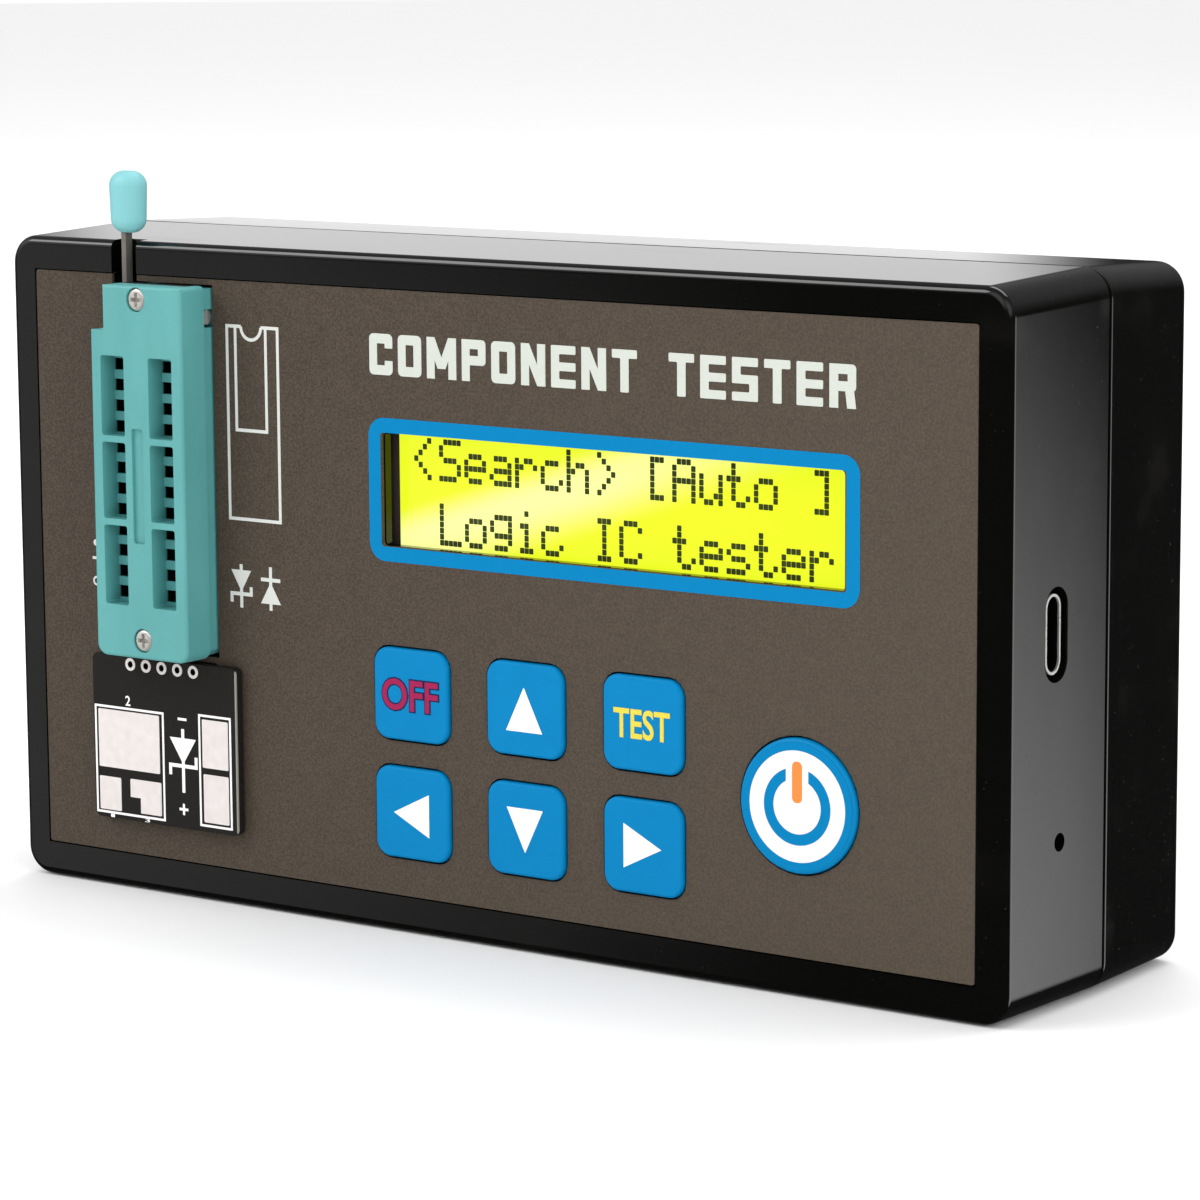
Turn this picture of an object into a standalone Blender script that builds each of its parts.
"""Bench component tester: a two-shell case that stands on its long edge, with a panel overlay,
a character display, a lever socket, a small test board, seven keys and a charging inlet.

Sizes are in millimetres. A place is (x, depth, z): x to the right, depth behind the case's front
face, z up from the face that it rests on. point() turns that into Blender's metres.
"""

import math

import bmesh
import bpy
from mathutils import Matrix, Vector

MM = 0.001
GAP = 0.3  # clearance between pieces that touch

# Case
CASE_WIDTH = 145.0
CASE_HEIGHT = 81.4
CASE_DEPTH = 39.5
SEAM_DEPTH = 20.3
CASE_CORNER = 3.4
CASE_DRAFT = 0.7
FRONT_FILLET = 1.0
REAR_FILLET = 1.6
SEAM_CHAMFER = 0.25
FRONT_WALL = 2.0
SIDE_WALL = 2.5
REAR_WALL = 2.5
LIP_THICKNESS = 1.0
LIP_HEIGHT = 2.0

# Overlay and its openings
OVERLAY_WIDTH = 135.5
OVERLAY_HEIGHT = 72.2
OVERLAY_Z = 40.5  # height of its middle
OVERLAY_FRONT = 0.1
OVERLAY_THICKNESS = 0.4
RECESS_DEPTH = OVERLAY_FRONT + OVERLAY_THICKNESS + GAP

# Display
WINDOW = (-13.55, 50.95, 46.3, 59.8)
DISPLAY_X = (WINDOW[0] + WINDOW[1]) / 2
DISPLAY_Z = (WINDOW[2] + WINDOW[3]) / 2
BEZEL_SIZE = (71.3, 24.3)
BEZEL_SHEET = 0.3
GLASS_SIZE = (70.0, 23.0)
LCD_BOARD_SIZE = (80.0, 36.0)
BEZEL_FRONT = FRONT_WALL + 0.2
GLASS_FRONT = BEZEL_FRONT + BEZEL_SHEET + 0.2
GLASS_BACK = GLASS_FRONT + 2.2
LIGHT_BACK = GLASS_BACK + 3.1
LCD_BOARD_FRONT = LIGHT_BACK + GAP
BOARD_THICKNESS = 1.6
PIN_PITCH = 2.54
LCD_PINS = 16

# Main board
MAIN_FRONT = 11.6
MAIN_BACK = MAIN_FRONT + BOARD_THICKNESS
BOARD_MARGIN = 3.5
BOARD_CORNER_CUT = 10.5
BOARD_SCREWS = ((-62.0, 62.0), (-28.0, 14.0), (64.0, 60.0), (58.0, 14.0))

# Keys: name, column and row of the square ones
KEY_COLUMNS = (-9.35, 7.35, 24.0)
KEY_ROWS = (28.8, 14.55)
SQUARE_KEYS = (("off", 0, 0), ("up", 1, 0), ("test", 2, 0), ("left", 0, 1), ("down", 1, 1), ("right", 2, 1))
KEY_SIDE = 11.0
KEY_CORNER = 2.0
KEY_RISE = 0.4
KEY_CLEARANCE = 0.25
ROUND_KEY = (45.05, 21.75)
ROUND_KEY_DIAMETER = 15.4
KEY_FLANGE = 0.75
STEM_BACK = 4.6
SWITCH_SIDE = 6.0
SWITCH_HEIGHT = 3.5

# Lever socket
SOCKET_X = -46.5
SLOT_COLUMNS = (SOCKET_X - 3.81, SOCKET_X + 3.81)
SLOT_TOP = 66.05
SLOTS = 12
SLOTS_PER_GROUP = 4
COVER_X = (-53.8, -39.2)
COVER_Z = (30.4, 75.9)
COVER_STEP = (2.0, 70.4)
COVER_FRONT = -5.8
COVER_BACK = -1.5
GROOVE_WIDTH = 3.7
GROOVE_DEPTH = 2.5
GROOVE_END = 1.25
RIB = 0.8
BASE_INSET = 0.4
BASE_FRONT = COVER_BACK + GAP
SLIDER_DEPTHS = (-1.0, 0.9)
SCREW_PLACES = {"top": (-46.3, 74.25), "bottom": (-46.3, 32.7)}
PIVOT = (-52.6, 0.0, 72.0)
LEVER_THICKNESS = 0.7
LEVER_WIDTH = 1.2
LEVER_TOP = 85.7
KNOB_X = -52.2
KNOB_BOTTOM = 81.75
KNOB_SIZE = (5.0, 4.3, 7.5)
SHAFT_RADIUS = 0.9
CAM_THROW = 0.5
NOTCH_X = (-55.2, -51.2)
NOTCH_DEPTH = 2.4
NOTCH_BOTTOM = 75.0

# Small test board
TEST_BOARD = (-58.65, -35.45, 8.9, 29.6)
TEST_BOARD_FRONT = -1.4
TEST_BOARD_BACK = OVERLAY_FRONT - GAP
TEST_PINS = 5
TEST_PIN_X = -52.35
TEST_PIN_Z = 28.6

# Charging inlet
INLET_DEPTH = 9.6
INLET_Z = 42.2
INLET_HOLE = (4.7, 10.6)
INLET_SIZE = (3.26, 8.94)
INLET_X = (63.2, 71.7)
INLET_SHEET = 0.3
PINHOLE = (10.65, 19.0)
PINHOLE_DIAMETER = 2.1

# Fasteners and power
CASE_SCREWS = ((-65.3, 7.8), (65.3, 7.8), (-65.3, 73.0), (65.3, 73.0))
CASE_BOSS_RADIUS = 4.6
COUNTERBORE_END = 25.0
CELL_RADIUS = 9.1
CELL_LENGTH = 65.0
CELL_DEPTH = 24.4
CELL_Z = 33.0

# The row's origin is under the middle of the whole object, from the cover's face to the rear.
ORIGIN_DEPTH = (COVER_FRONT + CASE_DEPTH) / 2

FINISHES = {
    "gloss_black": ((0.006, 0.006, 0.005), 0.12, 0.0),
    "overlay_grey": ((0.080, 0.064, 0.052), 0.6, 0.0),
    "key_blue": ((0.0024, 0.27, 0.63), 0.45, 0.0),
    "turquoise": ((0.14, 0.45, 0.43), 0.4, 0.0),
    "board_black": ((0.02, 0.019, 0.017), 0.4, 0.0),
    "board_green": ((0.01, 0.12, 0.05), 0.4, 0.0),
    "display_yellow": ((0.86, 1.0, 0.03), 0.2, 0.0),
    "light_guide": ((0.8, 0.85, 0.4), 0.3, 0.0),
    "key_white": ((0.85, 0.83, 0.83), 0.4, 0.0),
    "steel": ((0.6, 0.6, 0.6), 0.3, 1.0),
    "black_metal": ((0.03, 0.03, 0.03), 0.35, 1.0),
    "black_plastic": ((0.02, 0.02, 0.02), 0.5, 0.0),
    "trimmer_blue": ((0.03, 0.15, 0.55), 0.4, 0.0),
    "cell_wrap": ((0.05, 0.35, 0.2), 0.35, 0.0),
    "led_clear": ((0.9, 0.9, 0.85), 0.1, 0.0),
}


# Shapes


def point(x, depth, z):
    return Vector((x, depth - ORIGIN_DEPTH, z)) * MM


def clear_scene():
    for item in list(bpy.data.objects):
        bpy.data.objects.remove(item)


def finish(name):
    found = bpy.data.materials.get(name)
    if found:
        return found
    colour, roughness, metallic = FINISHES[name]
    made = bpy.data.materials.new(name)
    made.use_nodes = True
    shader = made.node_tree.nodes["Principled BSDF"]
    shader.inputs["Base Color"].default_value = (*colour, 1.0)
    shader.inputs["Roughness"].default_value = roughness
    shader.inputs["Metallic"].default_value = metallic
    return made


def arc(centre, radius, first, last, steps):
    """Points of an arc from the first angle to the last, in degrees, both ends included."""
    turn = [math.radians(first + (last - first) * i / steps) for i in range(steps + 1)]
    return [(centre[0] + radius * math.cos(a), centre[1] + radius * math.sin(a)) for a in turn]


def circle(centre, radius, steps=20):
    return arc(centre, radius, 0, 360, steps)[:-1]


def rounded(low_u, high_u, low_v, high_v, radius, steps=4):
    """Outline of a rectangle with round corners, anticlockwise."""
    outline = []
    corners = (
        (high_u, high_v, -1, -1, 0),
        (low_u, high_v, 1, -1, 90),
        (low_u, low_v, 1, 1, 180),
        (high_u, low_v, -1, 1, 270),
    )
    for u, v, side_u, side_v, start in corners:
        centre = (u + side_u * radius, v + side_v * radius)
        outline += arc(centre, radius, start, start + 90, steps)
    return outline


def rectangle(low_u, high_u, low_v, high_v):
    return [(low_u, low_v), (high_u, low_v), (high_u, high_v), (low_u, high_v)]


def around(centre, size_u, size_v):
    return (centre[0] - size_u / 2, centre[0] + size_u / 2, centre[1] - size_v / 2, centre[1] + size_v / 2)


def add_loft(bm, rings):
    """Joins rings of equal length by faces, and closes the first and the last."""
    made = [[bm.verts.new(point(*place)) for place in ring] for ring in rings]
    for near, far in zip(made, made[1:]):
        for i in range(len(near)):
            j = (i + 1) % len(near)
            bm.faces.new((near[i], near[j], far[j], far[i]))
    bm.faces.new(made[0])
    bm.faces.new(made[-1])


def add_prism(bm, outline, low, high, along="depth"):
    """Extrudes an outline. Along depth it holds (x, z), along x (depth, z), and along z (x, depth)."""
    turns = {
        "depth": lambda u, v, w: (u, w, v),
        "x": lambda u, v, w: (w, u, v),
        "z": lambda u, v, w: (u, v, w),
    }
    turn = turns[along]
    add_loft(bm, [[turn(u, v, w) for u, v in outline] for w in (low, high)])


def make(name, bm, colour=None, bevel=0.0, bevel_steps=2, origin=None):
    """Turns the mesh into an object. A bevel rounds its edges; origin moves the object's own origin there."""
    bmesh.ops.recalc_face_normals(bm, faces=bm.faces)
    mesh = bpy.data.meshes.new(name)
    bm.to_mesh(mesh)
    bm.free()
    item = bpy.data.objects.new(name, mesh)
    bpy.context.scene.collection.objects.link(item)
    if origin is not None:
        place = point(*origin)
        mesh.transform(Matrix.Translation(-place))
        item.location = place
    if bevel:
        rounding = item.modifiers.new("edge_rounding", "BEVEL")
        rounding.width = bevel * MM
        rounding.segments = bevel_steps
        rounding.limit_method = "ANGLE"
        rounding.angle_limit = math.radians(50)
    if colour:
        mesh.materials.append(finish(colour))
        mesh.shade_smooth()
        mesh.set_sharp_from_angle(angle=math.radians(35))
    return item


def prism(name, outline, low, high, colour=None, along="depth", **more):
    bm = bmesh.new()
    add_prism(bm, outline, low, high, along)
    return make(name, bm, colour, **more)


def prisms(name, outlines, low, high, colour=None, along="depth", **more):
    """Several prisms of one depth in one mesh, for cutters and for rows of pins."""
    bm = bmesh.new()
    for outline in outlines:
        add_prism(bm, outline, low, high, along)
    return make(name, bm, colour, **more)


def combine(item, tool, operation):
    modifier = item.modifiers.new(tool.name, "BOOLEAN")
    modifier.operation = operation
    modifier.solver = "EXACT"
    modifier.object = tool
    tool.hide_render = True
    tool.display_type = "WIRE"
    return item


def cut(item, *tools):
    for tool in tools:
        combine(item, tool, "DIFFERENCE")
    return item


def join(item, *tools):
    for tool in tools:
        combine(item, tool, "UNION")
    return item


# Case


def case_ring(depth, inset):
    """Outline of the case at a depth. The sides and top narrow away from the seam; the bottom is flat."""
    reach = SEAM_DEPTH if depth < SEAM_DEPTH else CASE_DEPTH - SEAM_DEPTH
    narrowing = CASE_DRAFT * abs(depth - SEAM_DEPTH) / reach
    half = CASE_WIDTH / 2 - narrowing - inset
    top = CASE_HEIGHT - narrowing - inset
    outline = rounded(-half, half, inset, top, CASE_CORNER - inset, steps=6)
    return [(x, depth, z) for x, z in outline]


def fillet_rings(edge, inward, radius, steps=4):
    """Rings that round the case's edge, from the face at the depth edge towards inward (+1 or -1)."""
    rings = []
    for i in range(steps + 1):
        turn = math.radians(90 * i / steps)
        rings.append(case_ring(edge + inward * radius * (1 - math.cos(turn)), radius * (1 - math.sin(turn))))
    return rings


def case_inside(name, wall, low, high):
    half = CASE_WIDTH / 2 - CASE_DRAFT - wall
    outline = rounded(-half, half, wall, CASE_HEIGHT - CASE_DRAFT - wall, 1.6)
    return prism(name, outline, low, high)


def key_places():
    """Name, centre and opening outline of each key."""
    for name, column, row in SQUARE_KEYS:
        centre = (KEY_COLUMNS[column], KEY_ROWS[row])
        yield name, centre, False
    yield "power", ROUND_KEY, True


def key_outline(centre, is_round, grow):
    if is_round:
        return circle(centre, ROUND_KEY_DIAMETER / 2 + grow, 36)
    side = KEY_SIDE + 2 * grow
    return rounded(*around(centre, side, side), KEY_CORNER + grow)


def panel_openings(low, high):
    """Cutters for what the overlay and the front wall both leave open."""
    keys = [key_outline(centre, is_round, KEY_CLEARANCE) for _, centre, is_round in key_places()]
    socket = rectangle(COVER_X[0], COVER_X[1], COVER_Z[0], COVER_Z[1])
    return (
        prisms("cut_keys", keys, low, high),
        prism("cut_window", rounded(*WINDOW, 0.6, 3), low, high),
        prism("cut_socket", socket, low, high),
        prism("cut_header", rectangle(-53.5, -39.7, 27.1, 29.7), low, high),
    )


def lever_notch(high):
    outline = rectangle(*NOTCH_X, NOTCH_BOTTOM, CASE_HEIGHT + 2)
    return prism("cut_lever_notch", outline, -1, high)


def front_shell():
    rings = fillet_rings(0, 1, FRONT_FILLET)
    end = SEAM_DEPTH - GAP / 2
    rings.append(case_ring(end - SEAM_CHAMFER, 0))
    rings.append(case_ring(end, SEAM_CHAMFER))
    bm = bmesh.new()
    add_loft(bm, rings)
    shell = make("front_shell", bm, "gloss_black")
    rebate_wall = SIDE_WALL - LIP_THICKNESS - GAP
    rebate_start = SEAM_DEPTH - LIP_HEIGHT - GAP
    recess = around((0, OVERLAY_Z), OVERLAY_WIDTH + GAP, OVERLAY_HEIGHT + GAP)
    cut(
        shell,
        case_inside("cut_front_inside", SIDE_WALL, FRONT_WALL, SEAM_DEPTH + 2),
        case_inside("cut_front_rebate", rebate_wall, rebate_start, SEAM_DEPTH + 2),
        prism("cut_recess", rectangle(*recess), -1, RECESS_DEPTH),
    )
    bosses = [circle(place, CASE_BOSS_RADIUS, 16) for place in CASE_SCREWS]
    posts = [circle(place, 3.0, 12) for place in BOARD_SCREWS]
    corner_x = LCD_BOARD_SIZE[0] / 2 - 2.5
    corner_z = LCD_BOARD_SIZE[1] / 2 - 2.5
    corners = [(DISPLAY_X + u * corner_x, DISPLAY_Z + v * corner_z) for u in (-1, 1) for v in (-1, 1)]
    rests = [circle(corner, 2.2, 8) for corner in corners]
    join(
        shell,
        prisms("add_case_bosses", bosses, 1.5, SEAM_DEPTH - GAP / 2),
        prisms("add_board_posts", posts, 1.5, MAIN_FRONT - GAP),
        prisms("add_display_rests", rests, 1.5, LCD_BOARD_FRONT - GAP),
    )
    side = CASE_WIDTH / 2
    inlet = rounded(*around((INLET_DEPTH, INLET_Z), *INLET_HOLE), INLET_HOLE[0] / 2 - 0.01, 8)
    cut(
        shell,
        prisms("cut_case_pilots", [circle(place, 1.8, 8) for place in CASE_SCREWS], 8, SEAM_DEPTH + 2),
        prisms("cut_board_pilots", [circle(place, 1.3, 8) for place in BOARD_SCREWS], 4, MAIN_FRONT + 1),
        *panel_openings(-1, FRONT_WALL + 1),
        lever_notch(NOTCH_DEPTH),
        prism("cut_inlet", inlet, side - 6, side + 1, along="x"),
        prism("cut_pinhole", circle(PINHOLE, PINHOLE_DIAMETER / 2, 16), side - 6, side + 1, along="x"),
    )


def rear_shell():
    start = SEAM_DEPTH + GAP / 2
    rings = [case_ring(start, SEAM_CHAMFER), case_ring(start + SEAM_CHAMFER, 0)]
    rings += reversed(fillet_rings(CASE_DEPTH, -1, REAR_FILLET))
    bm = bmesh.new()
    add_loft(bm, rings)
    shell = make("rear_shell", bm, "gloss_black")
    lip = case_inside("add_lip", SIDE_WALL - LIP_THICKNESS, SEAM_DEPTH - LIP_HEIGHT, SEAM_DEPTH + 1)
    bosses = [circle(place, CASE_BOSS_RADIUS, 16) for place in CASE_SCREWS]
    clearance = [circle(place, CASE_BOSS_RADIUS + GAP, 16) for place in CASE_SCREWS]
    join(shell, lip)
    cut(
        shell,
        case_inside("cut_rear_inside", SIDE_WALL, SEAM_DEPTH - 4, CASE_DEPTH - REAR_WALL),
        prisms("cut_boss_clearance", clearance, SEAM_DEPTH - 4, start),
    )
    join(shell, prisms("add_rear_bosses", bosses, start, CASE_DEPTH - 1))
    holes = [circle(place, 1.8, 12) for place in CASE_SCREWS]
    counterbores = [circle(place, 2.9, 16) for place in CASE_SCREWS]
    cut(
        shell,
        prisms("cut_screw_holes", holes, SEAM_DEPTH - 1, CASE_DEPTH + 1),
        prisms("cut_counterbores", counterbores, COUNTERBORE_END, CASE_DEPTH + 1),
    )


def panel_overlay():
    outline = rounded(*around((0, OVERLAY_Z), OVERLAY_WIDTH, OVERLAY_HEIGHT), 0.3, 2)
    film = prism("panel_overlay", outline, OVERLAY_FRONT, OVERLAY_FRONT + OVERLAY_THICKNESS, "overlay_grey")
    cut(film, *panel_openings(-1, 1), lever_notch(1))


# Display


def display():
    centre = (DISPLAY_X, DISPLAY_Z)
    bezel = prism(
        "lcd_bezel", rounded(*around(centre, *BEZEL_SIZE), 0.6, 2), BEZEL_FRONT, LIGHT_BACK - 1, "black_metal"
    )
    inside = rectangle(*around(centre, *(size - 2 * BEZEL_SHEET for size in BEZEL_SIZE)))
    view = around(centre, WINDOW[1] - WINDOW[0] + 1.2, WINDOW[3] - WINDOW[2] + 1.2)
    cut(
        bezel,
        prism("cut_bezel_inside", inside, BEZEL_FRONT + BEZEL_SHEET, LIGHT_BACK + 1),
        prism("cut_bezel_view", rounded(*view, 0.8, 3), 0, LIGHT_BACK),
    )
    glass = rectangle(*around(centre, *GLASS_SIZE))
    prism("lcd_glass", glass, GLASS_FRONT, GLASS_BACK, "display_yellow", bevel=0.1, bevel_steps=1)
    prism("lcd_backlight", glass, GLASS_BACK + 0.2, LIGHT_BACK, "light_guide", bevel=0.2, bevel_steps=1)


def lcd_pins():
    first = DISPLAY_X - LCD_BOARD_SIZE[0] / 2 + 8.0
    height = DISPLAY_Z + LCD_BOARD_SIZE[1] / 2 - 2.0
    return [(first + PIN_PITCH * i, height) for i in range(LCD_PINS)]


def boards():
    outline = rounded(*around((DISPLAY_X, DISPLAY_Z), *LCD_BOARD_SIZE), 0.8, 2)
    back = LCD_BOARD_FRONT + BOARD_THICKNESS
    lcd_board = prism("lcd_board", outline, LCD_BOARD_FRONT, back, "board_green")
    half = CASE_WIDTH / 2 - BOARD_MARGIN
    main = prism(
        "main_board",
        rounded(-half, half, BOARD_MARGIN, CASE_HEIGHT - BOARD_MARGIN - CASE_DRAFT, 1.0, 2),
        MAIN_FRONT,
        MAIN_BACK,
        "board_green",
    )
    corners = [rectangle(*around(place, BOARD_CORNER_CUT, BOARD_CORNER_CUT + 3)) for place in CASE_SCREWS]
    holes = [rectangle(*around(place, 1.0, 1.0)) for place in lcd_pins()]
    cut(lcd_board, prisms("cut_lcd_board_pins", holes, 6, 11))
    cut(
        main,
        prisms("cut_board_corners", corners, 10, 15),
        prisms("cut_board_screws", [circle(place, 1.5, 12) for place in BOARD_SCREWS], 10, 15),
        prisms("cut_main_board_pins", holes, 10, 15),
    )
    pins = lcd_pins()
    block = around((DISPLAY_X, pins[0][1]), 0, 2.4)
    header = prism(
        "lcd_header",
        rectangle(pins[0][0] - 1.2, pins[-1][0] + 1.2, block[2], block[3]),
        back + 0.25,
        MAIN_FRONT - 0.25,
        "black_plastic",
    )
    shafts = [rectangle(*around(place, 0.5, 0.5)) for place in pins]
    join(header, prisms("add_lcd_pins", shafts, LCD_BOARD_FRONT - 0.2, MAIN_BACK + 0.6))


def test_board():
    places = [(TEST_PIN_X + PIN_PITCH * i, TEST_PIN_Z) for i in range(TEST_PINS)]
    board = prism(
        "test_board", rounded(*TEST_BOARD, 0.8, 4), TEST_BOARD_FRONT, TEST_BOARD_BACK, "board_black"
    )
    cut(board, prisms("cut_test_holes", [circle(place, 0.55, 10) for place in places], -3, 1))
    block = rectangle(places[0][0] - 1.3, places[-1][0] + 1.3, TEST_PIN_Z - 1.2, TEST_PIN_Z + 1.2)
    header = prism("test_header", block, FRONT_WALL + 0.6, MAIN_FRONT - GAP, "black_plastic")
    shafts = [rectangle(*around(place, 0.5, 0.5)) for place in places]
    join(header, prisms("add_test_pins", shafts, TEST_BOARD_FRONT + 0.5, FRONT_WALL + 1))


# Keys


def keys():
    for name, centre, is_round in key_places():
        x, z = centre
        origin = (x, 0, z)
        cap = prism(
            f"key_{name}",
            key_outline(centre, is_round, 0),
            -KEY_RISE,
            FRONT_WALL + 0.6,
            "key_white" if is_round else "key_blue",
            bevel=0.35,
            origin=origin,
        )
        width = (ROUND_KEY_DIAMETER if is_round else KEY_SIDE) + 2 * KEY_FLANGE
        flange = rectangle(*around(centre, width, width))
        join(
            cap,
            prism("add_flange", flange, FRONT_WALL + GAP, FRONT_WALL + 1.1),
            prism("add_stem", circle(centre, 2.0, 10), FRONT_WALL + 1, STEM_BACK),
        )
        switch_front = MAIN_FRONT - GAP - SWITCH_HEIGHT
        prism(
            f"plunger_{name}",
            circle(centre, 1.7, 12),
            STEM_BACK + 0.2,
            switch_front + 1.0,
            "black_plastic",
            origin=origin,
        )
        side = rectangle(*around(centre, SWITCH_SIDE, SWITCH_SIDE))
        switch = prism(
            f"switch_{name}", side, switch_front, MAIN_FRONT - GAP, "black_plastic", bevel=0.3, bevel_steps=1
        )
        cut(switch, prism("cut_switch", circle(centre, 2.0, 12), 0, switch_front + 1.8))


# Lever socket


def slot_places():
    return [(x, SLOT_TOP - PIN_PITCH * i) for x in SLOT_COLUMNS for i in range(SLOTS)]


def groove_outlines():
    """The pockets that hold the slots, in groups with a rib between each two."""
    for x in SLOT_COLUMNS:
        for group in range(SLOTS // SLOTS_PER_GROUP):
            first = SLOT_TOP - PIN_PITCH * SLOTS_PER_GROUP * group
            last = first - PIN_PITCH * (SLOTS_PER_GROUP - 1)
            above = GROOVE_END if group == 0 else (PIN_PITCH - RIB) / 2
            below = GROOVE_END if last < SLOT_TOP - PIN_PITCH * (SLOTS - 2) else (PIN_PITCH - RIB) / 2
            half = GROOVE_WIDTH / 2
            yield rounded(x - half, x + half, last - below, first + above, 0.3, 1)


def socket_outline(inset):
    """Outline of the cover or the base, with the step that lets the lever swing past."""
    left, right = COVER_X[0] + inset, COVER_X[1] - inset
    bottom, top = COVER_Z[0] + inset, COVER_Z[1] - inset
    step_x, step_z = left + COVER_STEP[0], COVER_STEP[1] - inset
    chamfer = 1.1 - inset
    return [
        (left + chamfer, bottom),
        (right - chamfer, bottom),
        (right, bottom + chamfer),
        (right, top),
        (step_x, top),
        (step_x, step_z),
        (left, step_z),
        (left, bottom + chamfer),
    ]


def zif_cover():
    cover = prism(
        "zif_cover", socket_outline(0), COVER_FRONT, COVER_BACK, "turquoise", bevel=0.35, bevel_steps=3
    )
    slots = [rectangle(*around(place, 2.0, 1.5)) for place in slot_places()]
    floor = COVER_FRONT + GROOVE_DEPTH
    above = COVER_FRONT - 1
    centre_recess = rounded(-47.4, -45.6, 44.6, 58.6, 0.3, 2)
    heads = [circle(place, 1.5) for place in SCREW_PLACES.values()]
    shanks = [circle(place, 0.95, 12) for place in SCREW_PLACES.values()]
    cut(
        cover,
        prisms("cut_grooves", list(groove_outlines()), above, floor),
        prisms("cut_slots", slots, floor - 0.5, COVER_BACK + 1),
        prism("cut_centre_recess", centre_recess, above, COVER_FRONT + 0.4),
        prisms("cut_cover_heads", heads, above, COVER_FRONT + 1.6),
        prisms("cut_cover_screws", shanks, above, COVER_BACK + 1),
    )


def zif_base():
    base = prism("zif_base", socket_outline(BASE_INSET), BASE_FRONT, MAIN_FRONT - GAP, "turquoise")
    slot_end = SLOT_TOP - PIN_PITCH * (SLOTS - 1)
    troughs = [rectangle(x - 1.2, x + 1.2, slot_end - 1, SLOT_TOP + 1) for x in SLOT_COLUMNS]
    bearing = PIVOT[2] - SHAFT_RADIUS - 0.3, PIVOT[2] + SHAFT_RADIUS + 0.1
    screw_holes = [circle(place, 0.95, 12) for place in SCREW_PLACES.values()]
    cut(
        base,
        prism("cut_slider_bed", rectangle(-52.4, -40.6, 34.4, bearing[1]), BASE_FRONT - 1, 1.2),
        prism("cut_shaft_bearing", rectangle(-54.0, -38.0, *bearing), BASE_FRONT - 1, 1.2),
        prisms("cut_contact_troughs", troughs, 0, 9),
        prisms("cut_base_screws", screw_holes, BASE_FRONT - 1, 8),
    )


def zif_slider():
    top = PIVOT[2] - SHAFT_RADIUS - 0.25
    outline = rectangle(-52.1, -40.9, 35.4, top)
    slider = prism("zif_slider", outline, *SLIDER_DEPTHS, "black_plastic", origin=(SOCKET_X, 0, top))
    slots = [rectangle(*around(place, 1.8, 1.5)) for place in slot_places()]
    cut(slider, prisms("cut_slider_slots", slots, -3, 3))


def zif_camshaft():
    """The shaft has a lobe that faces forward at rest, and presses the slider down as the lever opens."""
    x, depth, z = PIVOT
    start = x + LEVER_THICKNESS / 2 + 0.2
    outline = circle((depth, z), SHAFT_RADIUS)
    shaft = prism("zif_camshaft", outline, start, -40.1, "steel", "x", origin=PIVOT)
    lobe = circle((depth - CAM_THROW, z), SHAFT_RADIUS - 0.02)
    join(shaft, prism("add_cam_lobe", lobe, -49.5, -43.5, along="x"))


def zif_lever():
    x, depth, z = PIVOT
    half = LEVER_WIDTH / 2
    outline = arc((depth, z), 1.4, 116, 424, 14) + [(depth + half, LEVER_TOP), (depth - half, LEVER_TOP)]
    low, high = x - LEVER_THICKNESS / 2, x + LEVER_THICKNESS / 2
    prism("zif_lever", outline, low, high, "steel", "x", bevel=0.15, bevel_steps=1, origin=PIVOT)


def zif_knob():
    x, depth, _ = PIVOT
    width, thick, tall = KNOB_SIZE
    outline = around((KNOB_X, KNOB_BOTTOM + tall / 2), width, tall)
    knob = prism(
        "zif_knob", rounded(*outline, 2.3, 5), depth - thick / 2, depth + thick / 2, "turquoise",
        bevel=1.2, bevel_steps=3, origin=PIVOT,
    )
    slot = around((x, depth), LEVER_THICKNESS + 0.5, LEVER_WIDTH + 0.5)
    cut(knob, prism("cut_knob_slot", rectangle(*slot), KNOB_BOTTOM - 1, LEVER_TOP + 0.3, along="z"))


# Screws


def screw(name, place, head_radius, head_depths, shank_radius, shank_end, bevel=0.0):
    """A cross-head screw along the depth. head_depths are the driven face and the underside."""
    face, under = head_depths
    inward = 1 if under > face else -1
    overlap = under - inward * 0.2
    body = prism(name, circle(place, head_radius, 16), *sorted(head_depths), "steel", bevel=bevel)
    shank = prism("add_shank", circle(place, shank_radius, 8), *sorted((overlap, shank_end)))
    arms = head_radius * 0.55
    width = head_radius * 0.18
    x, z = place
    cross = [
        (x + u * a, z + v * b)
        for u, v, a, b in (
            (1, 1, width, width), (1, 1, width, arms), (-1, 1, width, arms), (-1, 1, width, width),
            (-1, 1, arms, width), (-1, -1, arms, width), (-1, -1, width, width), (-1, -1, width, arms),
            (1, -1, width, arms), (1, -1, width, width), (1, -1, arms, width), (1, 1, arms, width),
        )
    ]
    recess = sorted((face - inward, face + inward * abs(under - face) * 0.6))
    join(body, shank)
    cut(body, prism("cut_cross", cross, *recess))


def screws():
    for end, place in SCREW_PLACES.items():
        screw(f"zif_screw_{end}", place, 1.3, (COVER_FRONT + 0.05, COVER_FRONT + 1.3), 0.7, 6.0, bevel=0.25)
    for i, place in enumerate(CASE_SCREWS, 1):
        screw(f"case_screw_{i}", place, 2.6, (COUNTERBORE_END + 2.3, COUNTERBORE_END + GAP), 1.45, 10.0)
    for i, place in enumerate(BOARD_SCREWS, 1):
        screw(f"board_screw_{i}", place, 2.3, (MAIN_BACK + 2.0, MAIN_BACK + GAP), 1.0, 5.0)


# Electrical pieces


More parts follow.
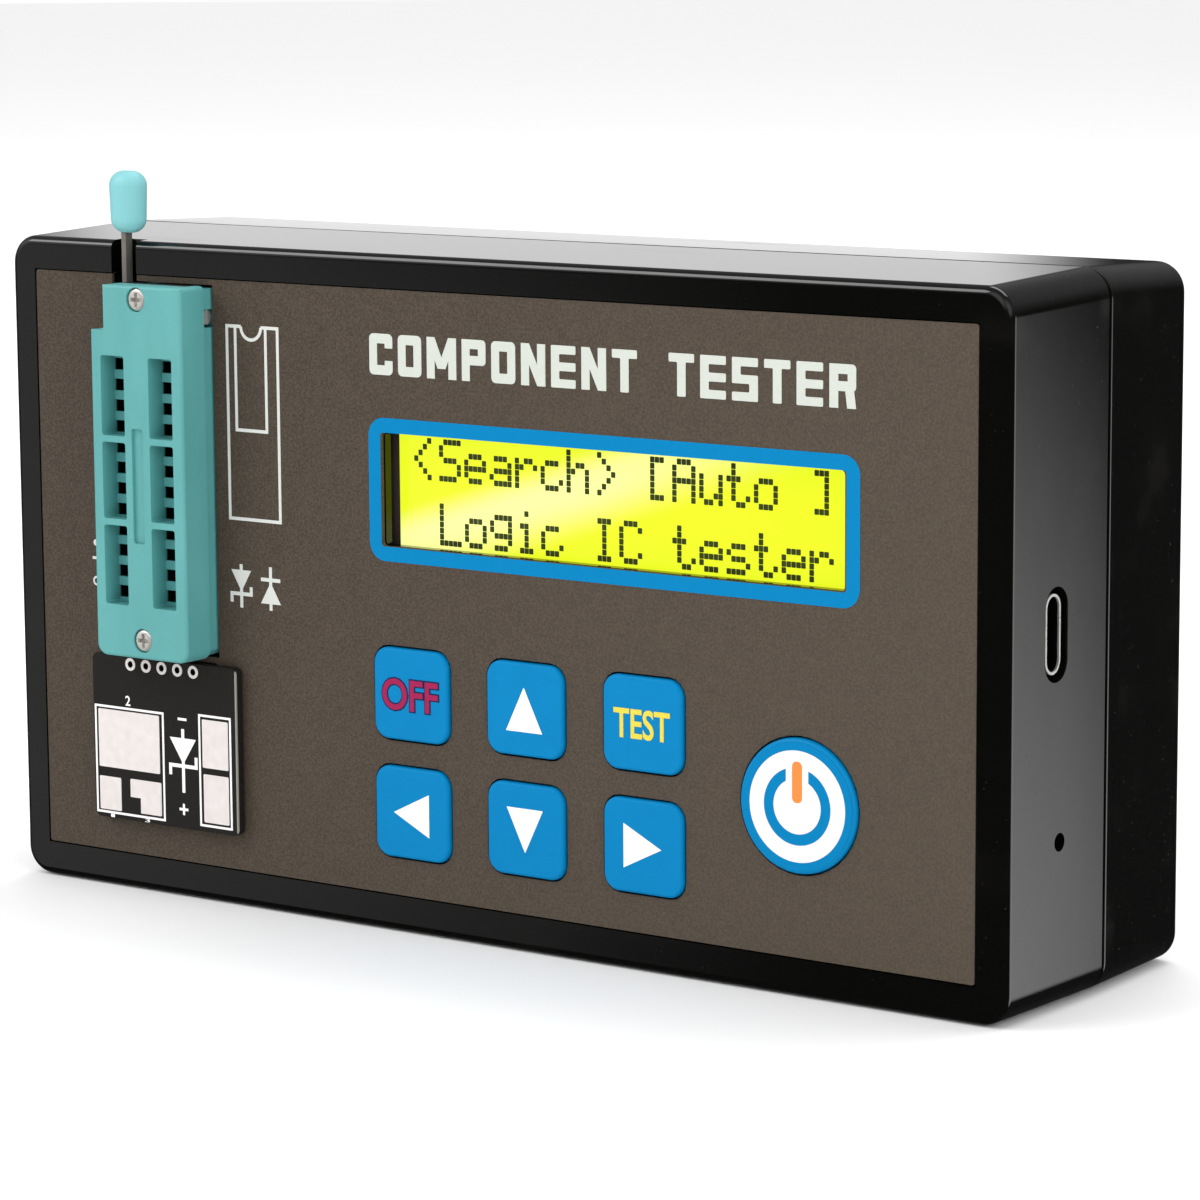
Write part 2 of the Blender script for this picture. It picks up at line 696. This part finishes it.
def charging_inlet():
    centre = (INLET_DEPTH, INLET_Z)
    high, long = INLET_SIZE
    shell = prism(
        "usb_shell", rounded(*around(centre, high, long), high / 2 - 0.01, 6), *INLET_X, "steel", along="x"
    )
    inner = high - 2 * INLET_SHEET, long - 2 * INLET_SHEET
    mouth = rounded(*around(centre, *inner), inner[0] / 2 - 0.01, 6)
    cut(shell, prism("cut_inlet_mouth", mouth, INLET_X[0] + 0.5, INLET_X[1] + 1, along="x"))
    tongue = rounded(*around(centre, 0.7, 6.7), 0.2, 2)
    prism("usb_tongue", tongue, INLET_X[0] + 0.8, INLET_X[1] - 1.0, "black_plastic", along="x")


def power():
    ends = CELL_LENGTH / 2
    centre = (CELL_DEPTH, CELL_Z)
    cell = prism("battery", circle(centre, CELL_RADIUS, 24), -ends, ends, "cell_wrap", along="x", bevel=0.6)
    join(cell, prism("add_cell_tip", circle(centre, 3.0, 12), ends - 1, ends + 1.2, along="x"))
    outer = ends + 6.0
    top = CELL_DEPTH + 2
    holder = prism(
        "battery_holder",
        rectangle(-outer, outer, CELL_Z - CELL_RADIUS - 1.9, CELL_Z + CELL_RADIUS + 1.9),
        MAIN_BACK + GAP,
        top,
        "black_plastic",
    )
    cut(
        holder,
        prism("cut_cell_bed", circle(centre, CELL_RADIUS + 0.5, 24), -outer + 1.5, outer - 1.5, along="x"),
        prism(
            "cut_cell_mouth",
            rectangle(CELL_DEPTH, top + 1, CELL_Z - 9.5, CELL_Z + 9.5),
            -outer + 1.5,
            outer - 1.5,
            along="x",
        ),
    )
    for name, side in (("positive", 1), ("negative", -1)):
        wall = side * (outer - 1.5 - GAP)
        plate = rectangle(CELL_DEPTH - 6, CELL_DEPTH + 5, CELL_Z - 4.5, CELL_Z + 4.5)
        clip = prism(f"battery_clip_{name}", plate, *sorted((wall, wall - side * 0.5)), "steel", along="x")
        reach = ends + (1.5 if side > 0 else 0.3)
        bump = circle(centre, 2.5, 12)
        join(clip, prism("add_clip_bump", bump, *sorted((side * reach, wall - side * 0.2)), along="x"))


def lead_frame(centre, body, reach, count):
    """Outline of a square chip's leads: a comb on each of four sides."""
    pitch = body * 0.85 / count
    outline = []
    for quarter in range(4):
        turn = Matrix.Rotation(math.radians(90 * quarter), 2)
        for i in range(count):
            middle = (i - (count - 1) / 2) * pitch
            root = body / 2 - 0.1
            for v, u in ((-0.25, root), (-0.25, reach / 2), (0.25, reach / 2), (0.25, root)):
                corner = turn @ Vector((u, middle + v * pitch))
                outline.append((centre[0] + corner.x, centre[1] + corner.y))
    return outline


def components():
    chip = (-28.0, 62.0)
    body = around(chip, 10.0, 10.0)
    front = MAIN_BACK + 0.2
    controller = prism("microcontroller", rounded(*body, 0.4, 1), front, front + 1.4, "black_plastic")
    join(controller, prism("add_leads", lead_frame(chip, 10.0, 12.0, 8), front + 0.1, front + 0.3))
    trimmer_place = (-46.0, 64.0)
    trimmer = prism(
        "contrast_trimmer", rectangle(*around(trimmer_place, 6.6, 6.6)), front, front + 3.6, "trimmer_blue",
        bevel=0.2, bevel_steps=1,
    )
    join(trimmer, prism("add_rotor", circle(trimmer_place, 2.2, 16), front + 3, front + 4.2))
    cut(trimmer, prism("cut_rotor_slot", rectangle(*around(trimmer_place, 3.4, 0.7)), front + 3.8, front + 5))
    lamp_depth, lamp_z = PINHOLE
    lamp = rounded(*around((lamp_depth - 0.1, lamp_z), 1.3, 1.8), 0.3, 2)
    prism("charge_led", lamp, 66.2, 68.8, "led_clear", along="x", bevel=0.15)


def main():
    clear_scene()
    front_shell()
    rear_shell()
    panel_overlay()
    display()
    boards()
    test_board()
    keys()
    zif_cover()
    zif_base()
    zif_slider()
    zif_camshaft()
    zif_lever()
    zif_knob()
    screws()
    charging_inlet()
    power()
    components()


main()
